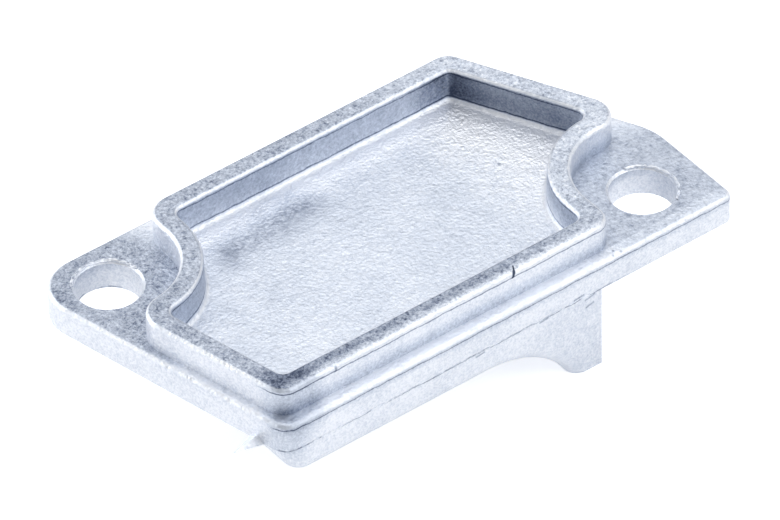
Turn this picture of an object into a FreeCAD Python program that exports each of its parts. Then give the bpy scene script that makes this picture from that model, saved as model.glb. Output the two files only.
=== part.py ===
import FreeCAD, Part
import math
import os
from FreeCAD import Vector

# Die cast housing cover, one aluminium alloy casting, in millimetres.
#
# A flat flange carries two diagonal screw ears.  On top stands a closed rim around a shallow pocket,
# and the rim steps back round each ear.  Underneath, an open skirt stands flush with the front side
# and runs down into one arched leg at the right.
#
# Frame: +Z up, X along the long sides.  The origin is midway between the two screw holes, on the
# flange's underside, where the ears seat.

# Screw holes: one ear at the back left, one at the front right.
HOLE_PITCH_X = 40.2
HOLE_PITCH_Y = 17.5
HOLE_D = 5.5
HOLE_MOUTH_BREAK = 0.2

# Flange outline.  Each side stands off the screw hole nearest to it; its left end and its right
# shoulder lean inwards towards the back and the front.
FLANGE_T = 2.7
HOLE_TO_FRONT = 4.9
HOLE_TO_BACK = 4.45
HOLE_TO_RIGHT = 5.55
HOLE_TO_LEFT = 4.4
HOLE_TO_SHOULDER = 7.34
LEFT_LEAN = 13.0
SHOULDER_LEAN = 26.5
EAR_LEFT_ROUND = 3.7
EAR_RIGHT_ROUND = 0.9
FLANGE_FRONT_ROUND = 1.6
FLANGE_BACK_ROUND = 2.9
SHOULDER_ROUND = 6.0
FLANGE_EDGE_ROUND = 0.43

# Rim on the flange: a ledge is left outside it, and it clears each hole by one radius.
RIM_H = 2.6
RIM_WALL = 1.87
LEDGE_FRONT = 1.2
LEDGE_BACK = 1.0
LEDGE_LEFT = 0.88
LEDGE_RIGHT = 1.26
EAR_CLEARANCE_R = 5.75
RIM_CORNER_ROUND = 1.7
RIM_EAR_ROUND = 2.4
RIM_SHOULDER_ROUND = 2.2
RIM_EDGE_ROUND = 0.4
RIM_MOUTH_ROUND = 0.35

# Pocket inside the rim, drafted for the tool and filleted at its floor.
POCKET_DEPTH = 3.15
POCKET_DRAFT = 1.5
POCKET_FILLET = 0.45
POCKET_CORNER_ROUND = 0.8

# Skirt under the flange: a wall round an open underside, flush with the front side.
SKIRT_D = 2.9
SKIRT_WALL = 2.0
SKIRT_DRAFT = 1.5
SKIRT_PAST_HOLE = 1.4
SKIRT_INSET = 1.7
SKIRT_CORNER_ROUND = 1.6
SEAT_R = 8.05
SKIRT_EDGE_ROUND = 1.15

# Leg at the skirt's front right corner, with an arch from the skirt's lower edge to its tip.
LEG_D = 7.9
LEG_TIP_W = 2.85
LEG_DEPTH = 4.6
LEG_ROOT_W = 4.4
ARCH_R = 9.9

# Torn stub of the casting gate, low on the left end.
STUB_LENGTH = 2.6
STUB_WIDTH = 1.75
STUB_T = 0.55
STUB_FROM_FRONT = 2.95

HOLE_X = HOLE_PITCH_X / 2
HOLE_Y = HOLE_PITCH_Y / 2
HOLES = [(-HOLE_X, HOLE_Y), (HOLE_X, -HOLE_Y)]
FRONT = -HOLE_Y - HOLE_TO_FRONT
BACK = HOLE_Y + HOLE_TO_BACK
RIM_TOP = FLANGE_T + RIM_H
SEAM = FLANGE_T / 2
BEYOND = 2 * HOLE_PITCH_X


def across(distance, lean):
    """Distance along X between a leaning side and a place that stands this far off it."""
    return distance / math.cos(math.radians(lean))


def leaning_x(mid, lean, y):
    """X at y of a side that crosses y = 0 at mid and leans."""
    return mid - y * math.tan(math.radians(lean))


# Where the left end and the shoulder cross y = 0.
LEFT_MID = leaning_x(-HOLE_X - across(HOLE_TO_LEFT, LEFT_LEAN), LEFT_LEAN, -HOLE_Y)
SHOULDER_MID = leaning_x(HOLE_X + across(HOLE_TO_SHOULDER, SHOULDER_LEAN), SHOULDER_LEAN, HOLE_Y)


def outline(corners):
    """Closed straight-sided wire through the corners."""
    return Part.makePolygon(corners + corners[:1])


def flat_sided(faces):
    """Solid bounded by flat faces, each given by its corners."""
    shell = Part.Shell([Part.Face(outline(corners)) for corners in faces])
    shell.sewShape()
    solid = Part.Solid(shell)
    if solid.Volume < 0:
        solid.reverse()
    return solid


def tapered(low_plan, high_plan, low, high):
    """Flat-sided solid between two plans, one at each height, whose sides are parallel."""
    bottom = [Vector(x, y, low) for x, y in low_plan]
    top = [Vector(x, y, high) for x, y in high_plan]
    faces = [bottom, top]
    for i in range(len(bottom)):
        faces.append([bottom[i - 1], bottom[i], top[i], top[i - 1]])
    return flat_sided(faces)


def body_plan(left, left_lean, right, front, back, inset):
    """Corners of a four-sided plan, each side moved in by the inset; the right side leans like the
    flange's shoulder."""
    left = left + across(inset, left_lean)
    right = right - across(inset, SHOULDER_LEAN)
    low = front + inset
    high = back - inset
    return [
        (leaning_x(left, left_lean, low), low),
        (leaning_x(right, SHOULDER_LEAN, low), low),
        (leaning_x(right, SHOULDER_LEAN, high), high),
        (leaning_x(left, left_lean, high), high),
    ]


def ear_room(hole, low_r, high_r, low, high):
    """Room kept round one hole: a turned part on the hole's centre, and flat-sided parts that open it
    outwards.  The left end cuts through the turned part, so only the right ear is opened forwards."""
    x, y = hole
    out = math.copysign(1, x)
    if low_r == high_r:
        turned = Part.makeCylinder(low_r, high - low, Vector(x, y, low))
    else:
        turned = Part.makeCone(low_r, high_r, high - low, Vector(x, y, low))
    far_x = x + out * BEYOND
    far_y = y - out * BEYOND
    beside = []
    before = []
    for radius in (low_r, high_r):
        near_x = x - out * radius
        near_y = y + out * radius
        beside.append([(near_x, y), (near_x, far_y), (far_x, far_y), (far_x, y)])
        before.append([(x, near_y), (x, y), (far_x, y), (far_x, near_y)])
    room = [turned, tapered(*beside, low, high)]
    if out > 0:
        room.append(tapered(*before, low, high))
    return room


def stepped(plan, clearance, inset, low, high, shrink_low, shrink_high):
    """Solid on a four-sided plan that steps back round both ears.  Its walls stand at the inset, and
    each end can be shrunk further, which drafts them."""
    inset_low = inset + shrink_low
    inset_high = inset + shrink_high
    solid = tapered(body_plan(*plan, inset_low), body_plan(*plan, inset_high), low, high)
    for hole in HOLES:
        solid = solid.cut(ear_room(hole, clearance + inset_low, clearance + inset_high, low, high))
    return solid.removeSplitter()


def narrowing(draft, depth):
    """How far a wall closes in over a depth."""
    return depth * math.tan(math.radians(draft))


def edges_at(shape, z):
    """Edges that lie flat at one height."""
    return [e for e in shape.Edges if abs(e.BoundBox.ZMin - z) < 1e-4 and abs(e.BoundBox.ZMax - z) < 1e-4]


def middle(edge):
    """Point half-way along an edge."""
    return edge.valueAt((edge.FirstParameter + edge.LastParameter) / 2)


def sharp(shape, edge):
    """True where two faces meet at a corner, and not in a smooth join."""
    normals = []
    for face in shape.ancestorsOfType(edge, Part.Face):
        normals.append(face.normalAt(*face.Surface.parameter(middle(edge))))
    return len(normals) == 2 and normals[0].getAngle(normals[1]) > 0.1


def uprights(shape, test):
    """Sharp upright edges whose place passes the test."""
    tall = [e for e in shape.Edges if e.BoundBox.ZLength > 0.9 * shape.BoundBox.ZLength]
    return [e for e in tall if sharp(shape, e) and test(middle(e))]


def rim_plan():
    """Outer plan of the rim: the flange's own sides, less the ledge left outside each."""
    left = LEFT_MID + across(LEDGE_LEFT, LEFT_LEAN)
    right = SHOULDER_MID - across(LEDGE_RIGHT, SHOULDER_LEAN)
    return left, LEFT_LEAN, right, FRONT + LEDGE_FRONT, BACK - LEDGE_BACK


def skirt_plan():
    """Outer plan of the skirt: square at the left, under the rim elsewhere, flush in front."""
    right = rim_plan()[2] - across(SKIRT_INSET, SHOULDER_LEAN)
    return SKIRT_PAST_HOLE - HOLE_X, 0, right, FRONT, BACK - LEDGE_BACK


def flange():
    right = HOLE_X + HOLE_TO_RIGHT
    turn_y = (SHOULDER_MID - right) / math.tan(math.radians(SHOULDER_LEAN))
    corners = [
        (leaning_x(LEFT_MID, LEFT_LEAN, FRONT), FRONT, FLANGE_FRONT_ROUND),
        (right, FRONT, EAR_RIGHT_ROUND),
        (right, turn_y, SHOULDER_ROUND),
        (leaning_x(SHOULDER_MID, SHOULDER_LEAN, BACK), BACK, FLANGE_BACK_ROUND),
        (leaning_x(LEFT_MID, LEFT_LEAN, BACK), BACK, EAR_LEFT_ROUND),
    ]
    plan = outline([Vector(x, y, 0) for x, y, radius in corners])
    plate = Part.Face(plan).extrude(Vector(0, 0, FLANGE_T))
    for x, y, radius in corners:
        corner = uprights(plate, lambda place: math.hypot(place.x - x, place.y - y) < 1e-3)
        plate = plate.makeFillet(radius, corner)
    return plate.makeFillet(FLANGE_EDGE_ROUND, edges_at(plate, FLANGE_T))


def rim():
    wall = stepped(rim_plan(), EAR_CLEARANCE_R, 0, SEAM, RIM_TOP, 0, 0)
    # The corner in front of the right ear has only a short straight to turn on.
    straight = leaning_x(rim_plan()[2], SHOULDER_LEAN, EAR_CLEARANCE_R - HOLE_Y) - HOLE_X
    most = 0.95 * straight * math.tan(math.radians(90 - SHOULDER_LEAN) / 2)
    shoulder = min(RIM_SHOULDER_ROUND, most)
    wall = wall.makeFillet(shoulder, uprights(wall, lambda place: place.x > HOLE_X))
    wall = wall.makeFillet(RIM_EAR_ROUND, uprights(wall, lambda place: place.x < 0 < place.y))
    wall = wall.makeFillet(RIM_CORNER_ROUND, uprights(wall, lambda place: place.x < HOLE_X))
    return wall.makeFillet(RIM_EDGE_ROUND, edges_at(wall, RIM_TOP))


def pocket():
    """Space inside the rim, open at the top, drafted, with a filleted floor."""
    floor = RIM_TOP - POCKET_DEPTH
    closing = narrowing(POCKET_DRAFT, POCKET_DEPTH)
    space = stepped(rim_plan(), EAR_CLEARANCE_R, RIM_WALL, floor, RIM_TOP, closing, 0)
    space = space.makeFillet(POCKET_CORNER_ROUND, uprights(space, lambda place: True))
    return space.makeFillet(POCKET_FILLET, edges_at(space, floor))


def skirt():
    """Wall round the open underside, before the leg is joined to it."""
    wall = stepped(skirt_plan(), SEAT_R, 0, -SKIRT_D, SEAM, 0, 0)
    right_front = HOLE_X - SEAT_R
    rounded = uprights(wall, lambda place: abs(place.x - right_front) > 1e-3)
    wall = wall.makeFillet(SKIRT_CORNER_ROUND, rounded)
    closing = narrowing(SKIRT_DRAFT, SKIRT_D)
    hollow = stepped(skirt_plan(), SEAT_R, SKIRT_WALL, -SKIRT_D, 0, 0, closing)
    hollow = hollow.makeFillet(POCKET_CORNER_ROUND, uprights(hollow, lambda place: True))
    return wall.cut(hollow)


def leg():
    """Arched web in the front wall and the deeper leg block behind its tip."""
    right = HOLE_X - SEAT_R
    drop = LEG_D - SKIRT_D
    tip_x = right - LEG_TIP_W
    arch_x = tip_x - math.sqrt(ARCH_R ** 2 - (ARCH_R - drop) ** 2)
    sweep = math.asin((tip_x - arch_x) / ARCH_R)
    crown = Vector(arch_x, FRONT, -SKIRT_D)
    side = Vector(arch_x + ARCH_R * math.sin(sweep / 2), FRONT,
                  -SKIRT_D - ARCH_R * (1 - math.cos(sweep / 2)))
    tip = Vector(tip_x, FRONT, -LEG_D)
    heel = Vector(right, FRONT, -LEG_D)
    lap = Vector(0, 0, SEAM + SKIRT_D)
    top_right = Vector(right, FRONT, SEAM)
    profile = Part.Wire([
        Part.Arc(crown, side, tip).toShape(),
        Part.LineSegment(tip, heel).toShape(),
        Part.LineSegment(heel, top_right).toShape(),
        Part.LineSegment(top_right, crown + lap).toShape(),
        Part.LineSegment(crown + lap, crown).toShape(),
    ])
    web = Part.Face(profile).extrude(Vector(0, SKIRT_WALL, 0))
    block = Part.Face(profile).extrude(Vector(0, LEG_DEPTH, 0))
    root = Part.makeBox(LEG_ROOT_W, LEG_DEPTH, LEG_D + SEAM, Vector(right - LEG_ROOT_W, FRONT, -LEG_D))
    return web.fuse(block.common(root))


def gate_stub():
    """Three-sided splinter that narrows from the left end to its torn tip."""
    place = FRONT + STUB_FROM_FRONT
    root_x = leaning_x(LEFT_MID, LEFT_LEAN, place)
    sunk = Vector(FLANGE_EDGE_ROUND, 0, 0)
    half = STUB_WIDTH / 2
    back = Vector(leaning_x(LEFT_MID, LEFT_LEAN, place + half), place + half, 0) + sunk
    front = Vector(leaning_x(LEFT_MID, LEFT_LEAN, place - half), place - half, 0) + sunk
    ridge = Vector(root_x, place, STUB_T) + sunk
    tip = Vector(root_x - STUB_LENGTH, place - 0.3 * half, 0.3 * STUB_T)
    return flat_sided([[back, front, ridge], [back, tip, front], [front, tip, ridge], [ridge, tip, back]])


def lower_front_edges(body):
    """Edges along the foot of the front side: the skirt's, the arch's and none of the leg's tip."""
    found = []
    for edge in body.Edges:
        box = edge.BoundBox
        on_front = abs(box.YMin - FRONT) < 1e-4 and abs(box.YMax - FRONT) < 1e-4
        low = box.ZMax < -SKIRT_D + 1e-4
        wide = box.XLength > LEG_TIP_W + 0.5
        if on_front and low and wide:
            found.append(edge)
    return found


def housing():
    body = flange().fuse(rim()).cut(pocket())
    body = body.makeFillet(RIM_MOUTH_ROUND, [e for e in edges_at(body, RIM_TOP) if sharp(body, e)])
    body = body.fuse(skirt()).fuse(leg()).removeSplitter()
    body = body.makeFillet(SKIRT_EDGE_ROUND, lower_front_edges(body))
    for x, y in HOLES:
        body = body.cut(Part.makeCylinder(HOLE_D / 2, 3 * FLANGE_T, Vector(x, y, -FLANGE_T)))
    rings = [e for e in edges_at(body, FLANGE_T) if abs(e.Length - math.pi * HOLE_D) < 1e-3]
    body = body.makeChamfer(HOLE_MOUTH_BREAK, rings)
    return body.fuse(gate_stub()).removeSplitter()


body = housing()
os.makedirs("parts", exist_ok=True)
body.exportStep("parts/housing.step")
print("housing", body.isValid(), len(body.Solids), "solid,", len(body.Faces), "faces,",
      round(body.Volume / 1000, 3), "cm3", body.BoundBox)
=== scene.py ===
import bpy
import math
from mathutils import Matrix, Vector


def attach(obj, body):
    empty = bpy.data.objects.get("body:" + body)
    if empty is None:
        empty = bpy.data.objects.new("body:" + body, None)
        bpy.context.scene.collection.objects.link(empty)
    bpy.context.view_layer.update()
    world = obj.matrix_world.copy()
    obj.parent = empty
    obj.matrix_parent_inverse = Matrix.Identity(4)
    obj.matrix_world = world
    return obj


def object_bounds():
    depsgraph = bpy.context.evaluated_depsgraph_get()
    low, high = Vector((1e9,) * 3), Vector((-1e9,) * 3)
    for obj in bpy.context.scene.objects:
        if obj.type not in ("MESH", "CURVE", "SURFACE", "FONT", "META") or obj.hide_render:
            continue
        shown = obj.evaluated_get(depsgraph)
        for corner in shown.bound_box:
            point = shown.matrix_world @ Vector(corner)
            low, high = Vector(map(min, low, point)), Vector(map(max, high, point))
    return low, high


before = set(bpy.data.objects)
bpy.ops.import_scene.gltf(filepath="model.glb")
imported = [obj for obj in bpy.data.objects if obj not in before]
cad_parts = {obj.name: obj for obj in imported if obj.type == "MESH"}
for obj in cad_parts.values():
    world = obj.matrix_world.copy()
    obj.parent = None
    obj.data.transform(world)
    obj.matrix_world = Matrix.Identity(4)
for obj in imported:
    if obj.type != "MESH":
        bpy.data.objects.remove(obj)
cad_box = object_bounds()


# ---- The casting ------------------------------------------------------------------------------
# One pressure die casting in aluminium alloy, shot blasted after most of its flash was trimmed.
# The pocket floor keeps the fine grain of the blast; the rim's top and the ears, which seat
# on other parts, are rubbed duller and carry a coarser, darker speckle. Some of the rim top's
# darkness is painted shade.

MM = 0.001


def linear(code):
    """Linear colour of an sRGB hex code."""
    parts = [int(code[i:i + 2], 16) / 255 for i in (1, 3, 5)]
    return [v / 12.92 if v <= 0.04045 else ((v + 0.055) / 1.055) ** 2.4 for v in parts] + [1.0]


def add(tree, kind, inputs=None, **settings):
    """A new node with its settings; an input takes a value or another node's output."""
    node = tree.nodes.new(kind)
    for name, value in settings.items():
        setattr(node, name, value)
    for name, value in (inputs or {}).items():
        if isinstance(value, bpy.types.NodeSocket):
            tree.links.new(value, node.inputs[name])
        else:
            node.inputs[name].default_value = value
    return node


# Die-cast aluminium, shot blasted: a pale, slightly blue metal with a broad, soft shine, which
# dimples break into fine light and dark grains.
cast = bpy.data.materials.new("die_cast_aluminium_blasted")
cast.use_nodes = True
nodes = cast.node_tree
shader = nodes.nodes["Principled BSDF"]
shader.inputs["Metallic"].default_value = 1.0
shader.inputs["Roughness"].default_value = 0.52

place = add(nodes, "ShaderNodeTexCoord")
position = add(nodes, "ShaderNodeSeparateXYZ", {0: place.outputs["Object"]})
facing = add(nodes, "ShaderNodeSeparateXYZ", {0: place.outputs["Normal"]})

# Faces that look up, faces of the front side, and walls that stand upright.
upward = add(nodes, "ShaderNodeMapRange", {0: facing.outputs["Z"], 1: 0.85, 2: 0.98}).outputs[0]
front = add(nodes, "ShaderNodeMapRange", {0: facing.outputs["Y"], 1: -0.3, 2: -0.8}).outputs[0]
tilt = add(nodes, "ShaderNodeMath", {0: facing.outputs["Z"]}, operation="ABSOLUTE").outputs[0]
upright = add(nodes, "ShaderNodeMapRange", {0: tilt, 1: 0.40, 2: 0.15}).outputs[0]

# Walls that face the middle of the casting, and walls that face away from it.
outward = add(nodes, "ShaderNodeVectorMath", {0: place.outputs["Normal"], 1: place.outputs["Object"]},
              operation="DOT_PRODUCT").outputs["Value"]
inner = add(nodes, "ShaderNodeMapRange", {0: outward, 1: 1 * MM, 2: -1 * MM}).outputs[0]
outer = add(nodes, "ShaderNodeMapRange", {0: outward, 1: -1 * MM, 2: 1 * MM}).outputs[0]

# Cloudy patterns, each with the width of its grains in millimetres, its detail and its roughness.
# Fine shot leaves dimples of 0.1 mm, too fine to show, so the grain is drawn 0.3 mm across. The
# speckle is the pitted skin, the lumps are the low swell of the metal, and the patches are stains.
PATTERNS = {
    "grain": (0.30, 2.0, 0.6),
    "flecks": (0.20, 2.0, 0.7),
    "speckle": (0.42, 4.0, 0.7),
    "lumps": (1.1, 2.0, 0.5),
    "breaks": (1.3, 2.0, 0.5),
    "patches": (3.8, 3.0, 0.6),
}
clouds = {}
for name, (width, detail, roughness) in PATTERNS.items():
    clouds[name] = add(nodes, "ShaderNodeTexNoise",
                       {"Vector": place.outputs["Object"], "Scale": 1 / (width * MM), "Detail": detail,
                        "Roughness": roughness}).outputs["Fac"]
# Three of them as a swing to either side of nothing, and the speckle's deepest spots.
fleck, mottle, drift = (
    add(nodes, "ShaderNodeMath", {0: clouds[name], 1: 0.5}, operation="SUBTRACT").outputs[0]
    for name in ("flecks", "speckle", "patches"))
pits = add(nodes, "ShaderNodeMapRange", {0: clouds["speckle"], 1: 0.56, 2: 0.68}).outputs[0]


def overlap(*masks):
    """1 where all of the masks are 1."""
    shared = masks[0]
    for mask in masks[1:]:
        shared = add(nodes, "ShaderNodeMath", {0: shared, 1: mask}, operation="MULTIPLY").outputs[0]
    return shared


def between(axis, low, high, blur):
    """1 where the casting lies between two places along an axis, in millimetres, blurred at its ends."""
    rise = add(nodes, "ShaderNodeMapRange", {0: position.outputs[axis], 1: (low - blur) * MM, 2: low * MM})
    fall = add(nodes, "ShaderNodeMapRange", {0: position.outputs[axis], 1: (high + blur) * MM, 2: high * MM})
    return overlap(rise.outputs[0], fall.outputs[0])


def near(start, end, reach, edge, jag=0.3):
    """1 within reach of the line from start to end, in millimetres, falling to 0 over its ragged edge."""
    run = (Vector(end) - Vector(start)) * MM
    along = run / max(run.length_squared, 1e-12)
    off = add(nodes, "ShaderNodeVectorMath", {0: place.outputs["Object"], 1: Vector(start) * MM},
              operation="SUBTRACT")
    share = add(nodes, "ShaderNodeVectorMath", {0: off.outputs[0], 1: along}, operation="DOT_PRODUCT")
    held = add(nodes, "ShaderNodeClamp", {0: share.outputs["Value"]})
    foot = add(nodes, "ShaderNodeVectorMath", {0: run, "Scale": held.outputs[0]}, operation="SCALE")
    gap = add(nodes, "ShaderNodeVectorMath", {0: off.outputs[0], 1: foot.outputs[0]}, operation="DISTANCE")
    ragged = add(nodes, "ShaderNodeMath", {0: mottle, 1: jag * MM, 2: gap.outputs["Value"]},
                 operation="MULTIPLY_ADD").outputs[0]
    return add(nodes, "ShaderNodeMapRange", {0: ragged, 1: (reach + edge) * MM, 2: reach * MM}).outputs[0]


WAVE = 0.30
wavy = add(nodes, "ShaderNodeMath", {0: clouds["lumps"], 1: WAVE * MM, 2: position.outputs["Z"]},
           operation="MULTIPLY_ADD")


def seam(height, half, blur):
    """1 on a thin wavy line at a height, in millimetres."""
    off = add(nodes, "ShaderNodeMath", {0: wavy.outputs[0], 1: (height + WAVE / 2) * MM}, operation="SUBTRACT")
    gap = add(nodes, "ShaderNodeMath", {0: off.outputs[0]}, operation="ABSOLUTE")
    return add(nodes, "ShaderNodeMapRange", {0: gap.outputs[0], 1: (half + blur) * MM, 2: half * MM}).outputs[0]


# The rim's top, the ears round their holes and the front ledge, and the pocket's floor.
LEFT_HOLE = (-20.1, 8.75, 2.7)
RIGHT_HOLE = (20.1, -8.75, 2.7)
rim_top = overlap(upward, between("Z", 5.25, 9.0, 0.15))
ear_top = overlap(upward, between("Z", 2.6, 2.8, 0.05))
left_ear = overlap(ear_top, near(LEFT_HOLE, (-18.0, 4.0, 2.7), 5.0, 2.5, 1.0))
right_ear = overlap(ear_top, near(RIGHT_HOLE, RIGHT_HOLE, 6.5, 3.0, 1.0))
seats = add(nodes, "ShaderNodeMath", {0: rim_top, 1: left_ear}, operation="MAXIMUM").outputs[0]
ledge = overlap(ear_top, between("Y", -20.0, -12.6, 0.2))
away_from_front = between("Y", -11.5, 20.0, 0.9)
floor_top = overlap(upward, between("Z", 2.0, 2.3, 0.05))
smudge = near((-9.5, 6.3, 2.15), (-2.0, 7.4, 2.15), 0.2, 2.6, 3.0)

# The inner walls are those of the pocket only, and not those of the screw holes.
at_left_hole, at_right_hole = (near(hole, hole, 3.6, 0.3) for hole in (LEFT_HOLE, RIGHT_HOLE))
at_hole = add(nodes, "ShaderNodeMath", {0: at_left_hole, 1: at_right_hole}, operation="MAXIMUM").outputs[0]
inner = add(nodes, "ShaderNodeMath", {0: inner, 1: overlap(inner, at_hole)}, operation="SUBTRACT").outputs[0]
along_shoulder = add(nodes, "ShaderNodeVectorMath", {0: place.outputs["Normal"], 1: (-0.895, -0.446, 0.0)},
                     operation="DOT_PRODUCT").outputs["Value"]
shoulder = add(nodes, "ShaderNodeMapRange", {0: along_shoulder, 1: 0.80, 2: 0.97}).outputs[0]

# The parting line of the two die halves, broken where it was rubbed off.
broken = add(nodes, "ShaderNodeMapRange", {0: clouds["breaks"], 1: 0.38, 2: 0.46}).outputs[0]
parting = overlap(upright, front, between("X", -30.0, 12.0, 3.0), seam(0.10, 0.04, 0.06), broken)

# A nick across the rim's front edge.
nick = add(nodes, "ShaderNodeMath", {0: near((4.58, -11.79, 5.3), (4.30, -12.28, 5.28), 0.0, 0.08, 0.1),
                                     1: near((4.30, -12.28, 5.28), (4.05, -12.50, 4.85), 0.05, 0.10, 0.1)},
           operation="MAXIMUM").outputs[0]

# What takes brightness off the metal, real stains and painted shade: how much, and the masks whose
# overlap it lies in. A minus is a place painted lighter than the rest.
STAINS_AND_PAINTED_SHADING = [
    (0.35, mottle),
    (0.25, fleck),
    (0.25, drift),
    # Rubbed seats: the rim's top and the two ears, duller and pitted. On the rim's top the
    # darkening is partly painted shade, heaviest over its left part.
    (0.23, rim_top, away_from_front),
    (0.19, rim_top, away_from_front, between("X", -30.0, 4.0, 10.0)),
    (0.12, rim_top, between("Y", -11.5, -9.0, 0.9)),
    (0.44, left_ear),
    (0.34, right_ear),
    (0.4, right_ear, mottle),
    # A smudge of release lubricant on the pocket floor.
    (0.55, upward, smudge, clouds["patches"]),
    (0.8, upward, smudge, mottle),
    # Painted shade: the middle of the pocket floor is darker than the strips under its back wall and its
    # shoulder.
    (0.15, floor_top, between("X", -30.0, 9.0, 4.0), between("Y", -20.0, 6.5, 2.5)),
    # Painted light: the front ledge and those two strips are lighter than the rest.
    (-0.12, ledge),
    (-0.25, floor_top, near((13.6, 9.2, 2.15), (18.0, 0.5, 2.15), 0.9, 2.0)),
    (-0.10, floor_top, between("Y", 8.5, 20.0, 1.0)),
    # The seats are the most pitted.
    (0.45, seats, mottle),
    (0.08, seats, pits),
    (0.8, seats, fleck),
    (0.08, upward, pits),
    # Painted shade at the foot of the outer walls and the front wall, on the leg's front face, in two
    # front corners, and on the pocket's inner walls, heaviest up high and in the back corner; then fine
    # flecks on all upright walls.
    (0.05, upright, outer, between("Z", 2.72, 3.0, 1.1)),
    (0.26, upright, front, between("Z", 2.72, 3.0, 1.1)),
    (0.06, upright, front, between("X", 8.0, 20.0, 3.0), between("Z", -9.0, -1.0, 2.0)),
    (0.24, outer, near((-17.2, -12.0, 2.7), (-17.2, -12.0, 5.0), 1.4, 1.6, 1.0)),
    (0.16, outer, near((-19.2, -13.6, 0.0), (-19.2, -13.6, 2.0), 1.2, 1.4, 1.0)),
    (0.06, upright, inner, between("Z", 2.5, 9.0, 0.3)),
    (0.32, upright, inner, between("Z", 4.2, 9.0, 1.4)),
    (0.30, upright, inner, near((14.3, 9.5, 2.4), (14.3, 9.5, 5.0), 0.6, 3.2, 1.0)),
    (0.35, upright, fleck),
    # Painted shade on the slanting shoulder's inner wall, darkest at its base and in the back corner.
    (0.14, upright, inner, between("Z", 2.5, 9.0, 0.3), shoulder),
    (0.28, upright, inner, between("Z", 2.5, 3.2, 1.2), shoulder),
    # Painted shade: thin dark lines under the rounded edges.
    (0.60, outer, seam(4.84, 0.03, 0.06), between("Y", -20.0, -11.2, 1.5)),
    (0.35, inner, seam(4.88, 0.03, 0.05)),
    (0.50, outer, seam(2.22, 0.02, 0.05), between("Y", -20.0, -12.5, 0.5)),
    (0.45, inner, seam(2.60, 0.03, 0.07)),
    # Painted shadow under the parting line's step, and painted shade in the nick.
    (0.5, parting),
    (1.1, nick),
]
# A small step beside the nick, then pits, and streaks of the front side, each with its start, its end
# and its half width, all painted dark as their shade.
MARKS = [
    ((-13.5, -12.4, 5.2), (-13.53, -12.58, 4.8), 0.05),
    ((13.7, -13.03, 2.7), (13.7, -13.03, 2.7), 0.05),
    ((13.4, -13.4, 2.6), (13.4, -13.4, 2.6), 0.04),
    ((14.2, -13.42, 2.6), (14.2, -13.42, 2.6), 0.04),
    ((13.5, 1.43, 2.15), (13.5, 1.43, 2.15), 0.08),
    ((7.06, 9.9, 4.6), (7.1, 9.9, 5.0), 0.04),
    ((5.8, -13.65, -0.13), (6.6, -13.65, -0.05), 0.02),
    ((9.3, -13.65, 0.3), (10.2, -13.65, 0.4), 0.02),
    ((10.4, -13.65, -0.3), (11.3, -13.65, -0.1), 0.02),
    ((10.5, -13.65, -1.1), (11.2, -13.65, -0.9), 0.02),
    ((-0.6, -13.65, -0.2), (0.2, -13.65, -0.1), 0.02),
]
STAINS_AND_PAINTED_SHADING += [(0.45, near(start, end, reach, 0.12, 0.15)) for start, end, reach in MARKS]

# How bright the metal is, from its stains and from painted shade and light: from 0, black, to 1,
# bright. Clean blasted skin is a little under 1.
level = 0.93
for amount, *masks in STAINS_AND_PAINTED_SHADING:
    level = add(nodes, "ShaderNodeMath", {0: overlap(*masks), 1: -amount, 2: level},
                operation="MULTIPLY_ADD").outputs[0]

# The level as the colour of the metal, from the darkest stains and painted shade to clean aluminium.
tones = add(nodes, "ShaderNodeValToRGB", {0: level})
stops = tones.color_ramp.elements
stops[0].position, stops[0].color = 0.0, linear("#454f65")
stops[1].position, stops[1].color = 1.0, linear("#f3f6fc")
for at, code in ((0.25, "#818b9f"), (0.5, "#b0b8c7"), (0.75, "#d4dbe7")):
    stops.new(at).color = linear(code)
nodes.links.new(tones.outputs[0], shader.inputs["Base Color"])

# Relief in metres: dimples, the low swell of the skin, the pitted seats, the parting line and the nick.
relief = 0.0
for part, depth in ((clouds["grain"], 0.095), (clouds["lumps"], 0.09),
                    (overlap(seats, clouds["speckle"]), 0.09), (parting, 0.04), (nick, -0.08)):
    relief = add(nodes, "ShaderNodeMath", {0: part, 1: depth * MM, 2: relief},
                 operation="MULTIPLY_ADD").outputs[0]
bump = add(nodes, "ShaderNodeBump", {"Height": relief, "Distance": 1.0, "Strength": 1.0})
nodes.links.new(bump.outputs[0], shader.inputs["Normal"])

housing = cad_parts["housing"]
for slot in housing.material_slots:
    slot.material = cast


# ---- Burrs at the holes -----------------------------------------------------------------------
# A ragged lip of the casting's own metal stands up on the far side of each screw hole.
# The punch that clears the flash out of the hole turns it up, and it is left as it is.

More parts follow.
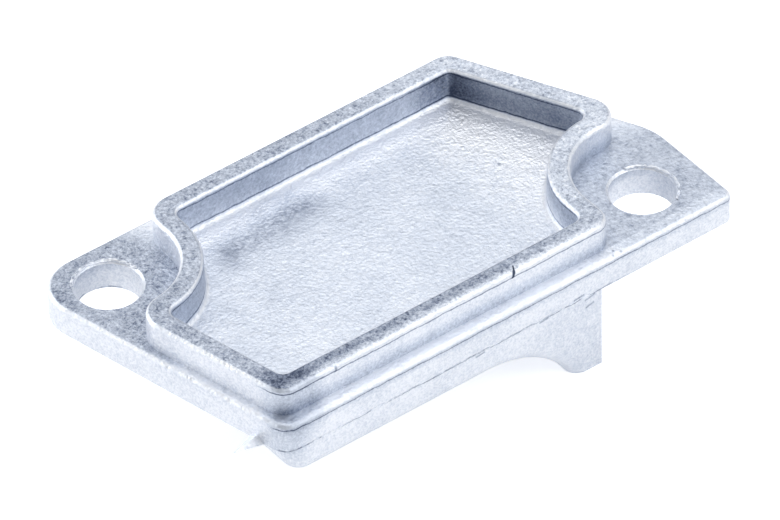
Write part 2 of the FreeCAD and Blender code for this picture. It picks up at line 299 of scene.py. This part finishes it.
LIP_RADIUS = 2.93 * MM
LIP_THICKNESS = 0.26 * MM
BURRS = [
    ("left_hole_burr", LEFT_HOLE, Vector((0.25, 0.97, 0.0)), 3),
    ("right_hole_burr", RIGHT_HOLE, Vector((0.98, 0.20, 0.0)), 8),
]
for name, hole, far_side, seed in BURRS:
    bpy.ops.object.select_all(action="DESELECT")
    bpy.ops.mesh.primitive_torus_add(location=Vector(hole) * MM, major_radius=LIP_RADIUS,
                                     minor_radius=LIP_THICKNESS / 2, major_segments=84, minor_segments=8)
    burr = bpy.context.object
    burr.name = name
    bpy.ops.object.transform_apply(location=True, rotation=True, scale=True)
    bpy.ops.object.mode_set(mode="EDIT")
    bpy.ops.mesh.select_all(action="SELECT")
    # The part that is more than 1 mm past the hole's middle stays.
    bpy.ops.mesh.bisect(plane_co=(Vector(hole) + far_side) * MM, plane_no=far_side, clear_inner=True,
                        use_fill=True)
    bpy.ops.mesh.select_all(action="SELECT")
    bpy.ops.transform.vertex_random(offset=0.07 * MM, uniform=1.0, normal=0.0, seed=seed)
    bpy.ops.mesh.subdivide(number_cuts=1, smoothness=1.0)
    bpy.ops.mesh.normals_make_consistent(inside=False)
    bpy.ops.object.mode_set(mode="OBJECT")
    bpy.ops.object.shade_smooth()
    burr.data.materials.append(cast)
    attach(burr, "root")


# ---- Parting flash ----------------------------------------------------------------------------
# A paper-thin, ragged fin of the same metal, where the two die halves met along the front side.
# It is left from the casting, and the shot has only rounded it.

FLASH_LENGTH = 29.5 * MM
FLASH_DEPTH = 0.09 * MM
bpy.ops.object.select_all(action="DESELECT")
bpy.ops.mesh.primitive_grid_add(x_subdivisions=90, y_subdivisions=1, size=1.0,
                                location=(-3.2 * MM, -13.64 * MM, 0.13 * MM))
flash = bpy.context.object
flash.name = "parting_flash"
flash.scale = (FLASH_LENGTH, FLASH_DEPTH, 1.0)
bpy.ops.object.transform_apply(location=True, rotation=True, scale=True)
bpy.ops.object.mode_set(mode="EDIT")
bpy.ops.mesh.select_all(action="SELECT")
bpy.ops.transform.vertex_random(offset=0.03 * MM, uniform=1.0, normal=0.0, seed=5)
bpy.ops.object.mode_set(mode="OBJECT")
thickness = flash.modifiers.new("thickness", "SOLIDIFY")
thickness.thickness = 0.05 * MM
thickness.offset = 0.0
bpy.ops.object.modifier_apply(modifier="thickness")
flash.data.materials.append(cast)
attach(flash, "root")


# ---- Floor, light and camera ------------------------------------------------------------------
# The casting stands on its leg on a sweep of white paper, which shows white and keeps its shadow.
# A large white tent lights it, brightest behind it to the right, with three softboxes.

bpy.ops.object.select_all(action="DESELECT")
bpy.ops.mesh.primitive_plane_add(size=3.0, location=(0, 0, cad_box[0][2]))
floor = bpy.context.object
floor.name = "floor"
bpy.ops.object.transform_apply(location=True, rotation=True, scale=True)
sweep = bpy.data.materials.new("white_paper_sweep")
sweep.use_nodes = True
nodes = sweep.node_tree
nodes.nodes.clear()
path = add(nodes, "ShaderNodeLightPath")
mirrored = add(nodes, "ShaderNodeMath", {0: path.outputs["Is Glossy Ray"], 1: 0.12}, operation="MULTIPLY")
glow = add(nodes, "ShaderNodeMath", {0: path.outputs["Is Camera Ray"], 1: 0.5, 2: mirrored.outputs[0]},
           operation="MULTIPLY_ADD")
lit = add(nodes, "ShaderNodeEmission", {"Color": (1, 1, 1, 1), "Strength": glow.outputs[0]})
paper = add(nodes, "ShaderNodeBsdfDiffuse", {"Color": linear("#f4f5f7")})
both = add(nodes, "ShaderNodeAddShader", {0: paper.outputs[0], 1: lit.outputs[0]})
add(nodes, "ShaderNodeOutputMaterial", {"Surface": both.outputs[0]})
floor.data.materials.append(sweep)

world = bpy.data.worlds.new("white_tent")
bpy.context.scene.world = world
world.use_nodes = True
nodes = world.node_tree
nodes.nodes.clear()
path = add(nodes, "ShaderNodeLightPath")
# The tent falls off to half of its light towards the left and the front, which brings out the grain.
sky = add(nodes, "ShaderNodeTexCoord")
side = add(nodes, "ShaderNodeVectorMath", {0: sky.outputs["Generated"], 1: (0.448, 0.599, 0.664)},
           operation="DOT_PRODUCT")
glare = add(nodes, "ShaderNodeMapRange", {0: side.outputs["Value"], 1: 0.0, 2: 1.0, 3: 0.45, 4: 0.90})
tent = add(nodes, "ShaderNodeBackground", {"Color": (1, 1, 1, 1), "Strength": glare.outputs[0]})
white = add(nodes, "ShaderNodeBackground", {"Color": (1, 1, 1, 1), "Strength": 1.0})
choice = add(nodes, "ShaderNodeMixShader",
             {0: path.outputs["Is Camera Ray"], 1: tent.outputs[0], 2: white.outputs[0]})
add(nodes, "ShaderNodeOutputWorld", {"Surface": choice.outputs[0]})

# Each softbox with its place and width in metres and its power in watts, turned to the casting.
LIGHTS = [
    ("left_softbox", (-0.45, 0.45, 0.10), 0.35, 1.7),
    ("top_softbox", (0.10, 0.15, 0.60), 0.35, 0.8),
    ("front_softbox", (0.25, -0.50, 0.45), 0.4, 1.7),
]
for name, spot, width, power in LIGHTS:
    lamp = bpy.data.lights.new(name, "AREA")
    lamp.shape = "SQUARE"
    lamp.size = width
    lamp.energy = power
    fixture = bpy.data.objects.new(name, lamp)
    bpy.context.collection.objects.link(fixture)
    fixture.location = spot
    fixture.rotation_euler = Vector(spot).to_track_quat("Z", "Y").to_euler()

# A long lens, high at the front left, in radians, and rolled a degree.
AZIMUTH = -0.64202724
ELEVATION = 0.72548434
ROLL = -0.02089907
TARGET = Vector((-0.825, -2.815, 2.7)) * MM
DISTANCE = 794.9 * MM
back = Vector((math.sin(AZIMUTH) * math.cos(ELEVATION), -math.cos(AZIMUTH) * math.cos(ELEVATION),
               math.sin(ELEVATION)))
across = Vector((math.cos(AZIMUTH), math.sin(AZIMUTH), 0))
over = back.cross(across)
right = across * math.cos(ROLL) + over * math.sin(ROLL)
up = over * math.cos(ROLL) - across * math.sin(ROLL)
lens = bpy.data.cameras.new("camera")
lens.sensor_width = 36.0
lens.lens = 10000 / 780 * 36.0
lens.clip_start = 0.01
camera = bpy.data.objects.new("camera", lens)
bpy.context.collection.objects.link(camera)
turn = Matrix((right, up, back)).transposed().to_4x4()
camera.matrix_world = Matrix.Translation(TARGET + back * DISTANCE) @ turn
bpy.context.scene.camera = camera
bpy.context.scene.view_settings.view_transform = "Standard"
